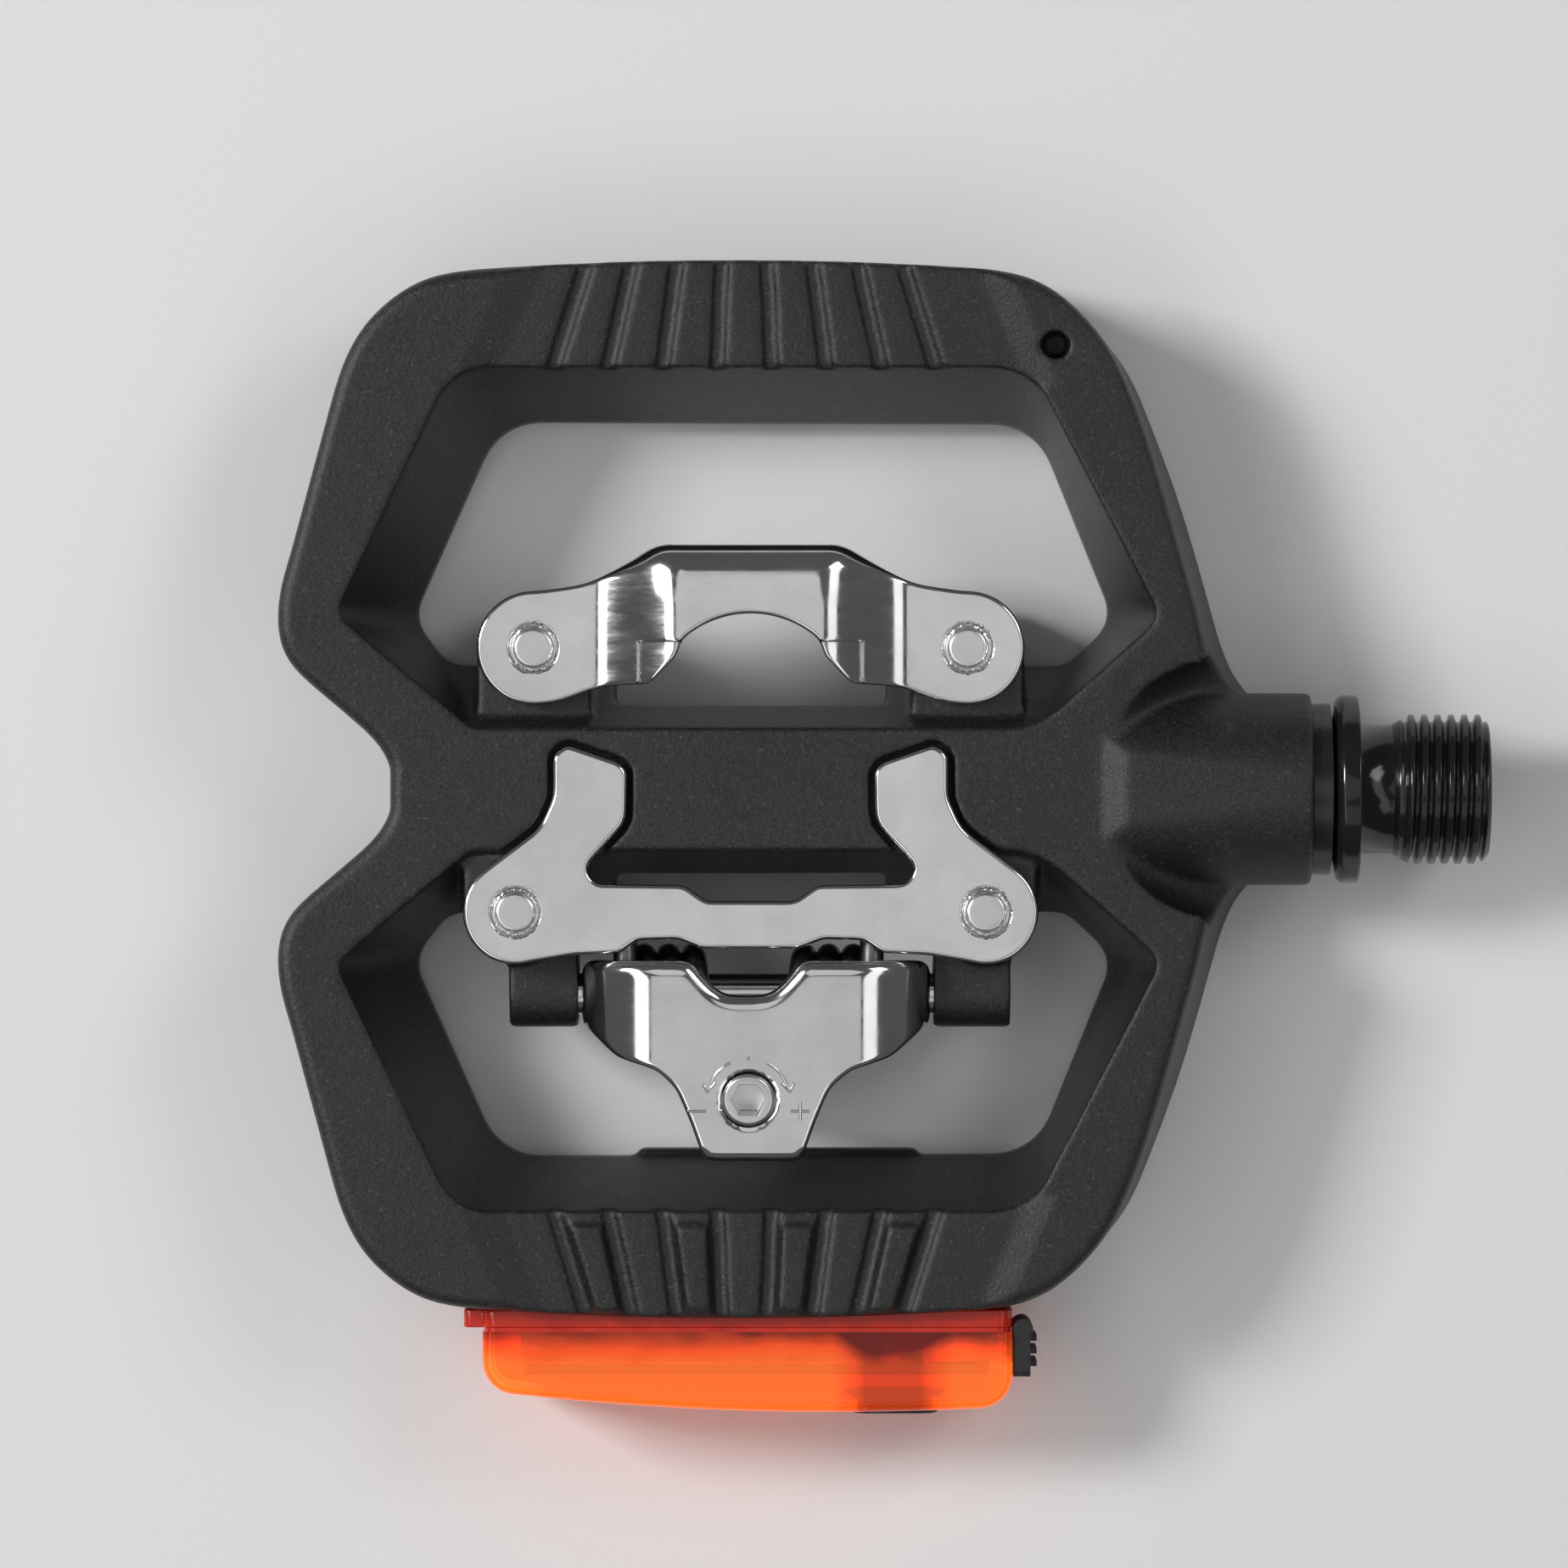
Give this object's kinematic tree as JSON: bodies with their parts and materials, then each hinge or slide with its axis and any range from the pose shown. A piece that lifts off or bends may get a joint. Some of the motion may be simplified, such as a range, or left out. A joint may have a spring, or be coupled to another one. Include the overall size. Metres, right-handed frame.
{
  "type": "clipless pedal",
  "caption": "Left trekking pedal: two-bolt cleat mechanism on one side, plain platform on the other, removable rear light.",
  "frame": {"origin": "on the spindle axis, at the collar face that bears on the crank arm", "axes": "+X along the spindle towards the crank arm, +Y towards the toe, +Z out of the clip side"},
  "size_m": [0.1151, 0.1097, 0.0218],
  "materials": {
    "composite": "fine grained",
    "steel": "polished",
    "black_steel": "glossy black",
    "bearing_steel": "ground",
    "rubber": "matte",
    "brass": "plain",
    "aluminium": "satin",
    "black_aluminium": "satin black",
    "lens": "clear orange",
    "board": "solder mask",
    "led": "plain",
    "wrap": "plain",
    "spring_steel": "drawn"
  },
  "bodies": {
    "spindle": {"spindle": "black_steel", "lock_nut": "steel", "spindle_washer": "steel", "ball_bearing_inner_ring": "bearing_steel"},
    "ball_set": {"bearing_balls": "bearing_steel", "ball_cage": "brass"},
    "needle_set": {"bearing_needles": "bearing_steel", "needle_cage": "steel"},
    "pedal": {"body_shell": "composite", "ball_bearing_outer_ring": "bearing_steel", "bearing_shields": "rubber", "needle_bearing_cup": "bearing_steel", "spacer_tube": "aluminium", "retaining_nut": "black_aluminium", "o_ring": "rubber", "lip_seal": "rubber", "front_claw": "steel", "claw_rivets": "steel", "tread_plate": "steel", "tread_plate_rivets": "steel", "hinge_pin": "bearing_steel", "torsion_spring": "spring_steel"},
    "rear_jaw": {"rear_jaw": "steel"},
    "tension_screw": {"tension_screw": "steel"},
    "tension_nut": {"tension_nut": "black_steel"},
    "light": {"light_lens": "lens", "light_back_cover": "composite", "light_gasket": "rubber", "circuit_board": "board", "leds": "led", "tact_switch": "steel", "battery": "wrap", "usb_socket": "steel"},
    "power_button": {"power_button": "rubber"},
    "port_cover": {"port_cover": "rubber"}
  },
  "joints": [
    {"name": "pedal_spin", "type": "hinge", "parent": "spindle", "child": "pedal", "pos_m": [0, 0, 0], "axis": [1, 0, 0], "continuous": true},
    {"name": "ball_set_spin", "type": "hinge", "parent": "spindle", "child": "ball_set", "pos_m": [0, 0, 0], "axis": [1, 0, 0], "continuous": true},
    {"name": "needle_set_spin", "type": "hinge", "parent": "spindle", "child": "needle_set", "pos_m": [0, 0, 0], "axis": [1, 0, 0], "continuous": true},
    {"name": "jaw_hinge", "type": "hinge", "parent": "pedal", "child": "rear_jaw", "pos_m": [-0.0574, -0.0195, 0.001], "axis": [1, 0, 0], "range_deg": [0, 20], "stiffness_Nm_per_rad": 1.2, "springref_deg": -20.05, "deforming": ["torsion_spring"]},
    {"name": "tension_screw_turn", "type": "hinge", "parent": "rear_jaw", "child": "tension_screw", "pos_m": [-0.0581, -0.0294, 0.00783], "axis": [0, -0.2195, 0.9756], "range_deg": [-520, 520]},
    {"name": "tension_nut_slide", "type": "slide", "parent": "rear_jaw", "child": "tension_nut", "axis": [0, -0.2195, 0.9756], "range_m": [-0.001, 0.001]},
    {"name": "light_slide", "type": "slide", "parent": "pedal", "child": "light", "axis": [0, -1, 0], "range_m": [0, 0.012]},
    {"name": "power_button_press", "type": "slide", "parent": "light", "child": "power_button", "axis": [0, 1, 0], "range_m": [0, 0.0005], "stiffness_N_per_m": 2000, "springref_m": -0.0003},
    {"name": "port_cover_hinge", "type": "hinge", "parent": "light", "child": "port_cover", "pos_m": [-0.032, -0.0513, -0.001], "axis": [0, 0, 1], "range_deg": [0, 95], "stiffness_Nm_per_rad": 0.002, "springref_deg": -11.46}
  ],
  "couplings": [
    {"joint": "ball_set_spin", "follows": "pedal_spin", "ratio": 0.60533},
    {"joint": "needle_set_spin", "follows": "pedal_spin", "ratio": 0.57222},
    {"joint": "tension_screw_turn", "follows": "tension_nut_slide", "rad_per_m": -8976}
  ]
}
